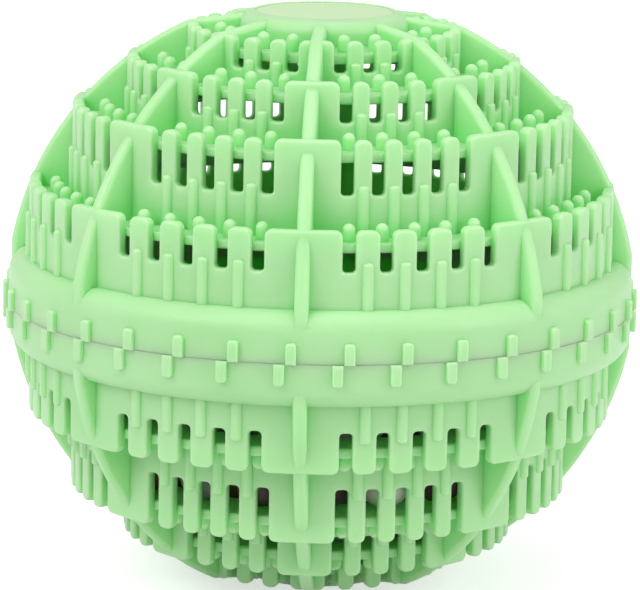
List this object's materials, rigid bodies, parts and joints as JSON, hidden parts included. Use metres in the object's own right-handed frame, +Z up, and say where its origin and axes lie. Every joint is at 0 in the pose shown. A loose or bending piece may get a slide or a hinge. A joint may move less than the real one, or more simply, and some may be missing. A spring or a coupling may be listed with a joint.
{
  "type": "laundry ball",
  "caption": "Hollow, slotted laundry ball of green plastic: two stepped half shells twist apart at the equator and hold loose ceramic beads.",
  "frame": {"origin": "centre of the ball, 0.95 mm above the parting plane of its two halves", "axes": "+Z up along the axis through both poles and their caps, -Y to the front meridian fin, +X to the right"},
  "size_m": [0.1002, 0.1002, 0.0904],
  "materials": {
    "shell_green": "satin, slightly translucent",
    "cap_pale_green": "satin",
    "magnet_ferrite": "sintered, dark grey",
    "bead_white": "fired, matt",
    "bead_grey": "fired, matt",
    "bead_brown": "fired, matt",
    "bead_dark": "fired, matt"
  },
  "bodies": {
    "lower_half": {"lower_shell": "shell_green", "bottom_cap": "cap_pale_green", "bottom_magnet": "magnet_ferrite", "bead_brown_01": "bead_brown", "bead_brown_02": "bead_brown", "bead_brown_03": "bead_brown", "bead_brown_04": "bead_brown", "bead_brown_05": "bead_brown", "bead_brown_06": "bead_brown", "bead_brown_07": "bead_brown", "bead_brown_08": "bead_brown", "bead_brown_09": "bead_brown", "bead_brown_10": "bead_brown", "bead_brown_11": "bead_brown", "bead_dark_01": "bead_dark", "bead_dark_02": "bead_dark", "bead_dark_03": "bead_dark", "bead_dark_04": "bead_dark", "bead_dark_05": "bead_dark", "bead_dark_06": "bead_dark", "bead_dark_07": "bead_dark", "bead_dark_08": "bead_dark", "bead_dark_09": "bead_dark", "bead_dark_10": "bead_dark", "bead_dark_11": "bead_dark", "bead_dark_12": "bead_dark", "bead_dark_13": "bead_dark", "bead_dark_14": "bead_dark", "bead_grey_01": "bead_grey", "bead_grey_02": "bead_grey", "bead_grey_03": "bead_grey", "bead_grey_04": "bead_grey", "bead_grey_05": "bead_grey", "bead_grey_06": "bead_grey", "bead_grey_07": "bead_grey", "bead_grey_08": "bead_grey", "bead_grey_09": "bead_grey", "bead_grey_10": "bead_grey", "bead_grey_11": "bead_grey", "bead_grey_12": "bead_grey", "bead_grey_13": "bead_grey", "bead_grey_14": "bead_grey", "bead_grey_15": "bead_grey", "bead_grey_16": "bead_grey", "bead_white_01": "bead_white", "bead_white_02": "bead_white", "bead_white_03": "bead_white", "bead_white_04": "bead_white", "bead_white_05": "bead_white", "bead_white_06": "bead_white", "bead_white_07": "bead_white", "bead_white_08": "bead_white", "bead_white_09": "bead_white", "bead_white_10": "bead_white"},
    "top_magnet": {"top_magnet": "magnet_ferrite"},
    "upper_half": {"upper_shell": "shell_green", "top_cap": "cap_pale_green"}
  },
  "joints": [
    {"name": "closure_rise", "type": "slide", "parent": "lower_half", "child": "top_magnet", "axis": [0, 0, 1], "range_m": [0, 0.0151]},
    {"name": "closure_twist", "type": "hinge", "parent": "top_magnet", "child": "upper_half", "pos_m": [0, 0, 0], "axis": [0, 0, 1], "range_deg": [0, 150]}
  ],
  "couplings": [
    {"joint": "closure_rise", "follows": "closure_twist", "m_per_rad": 0.0057296}
  ]
}
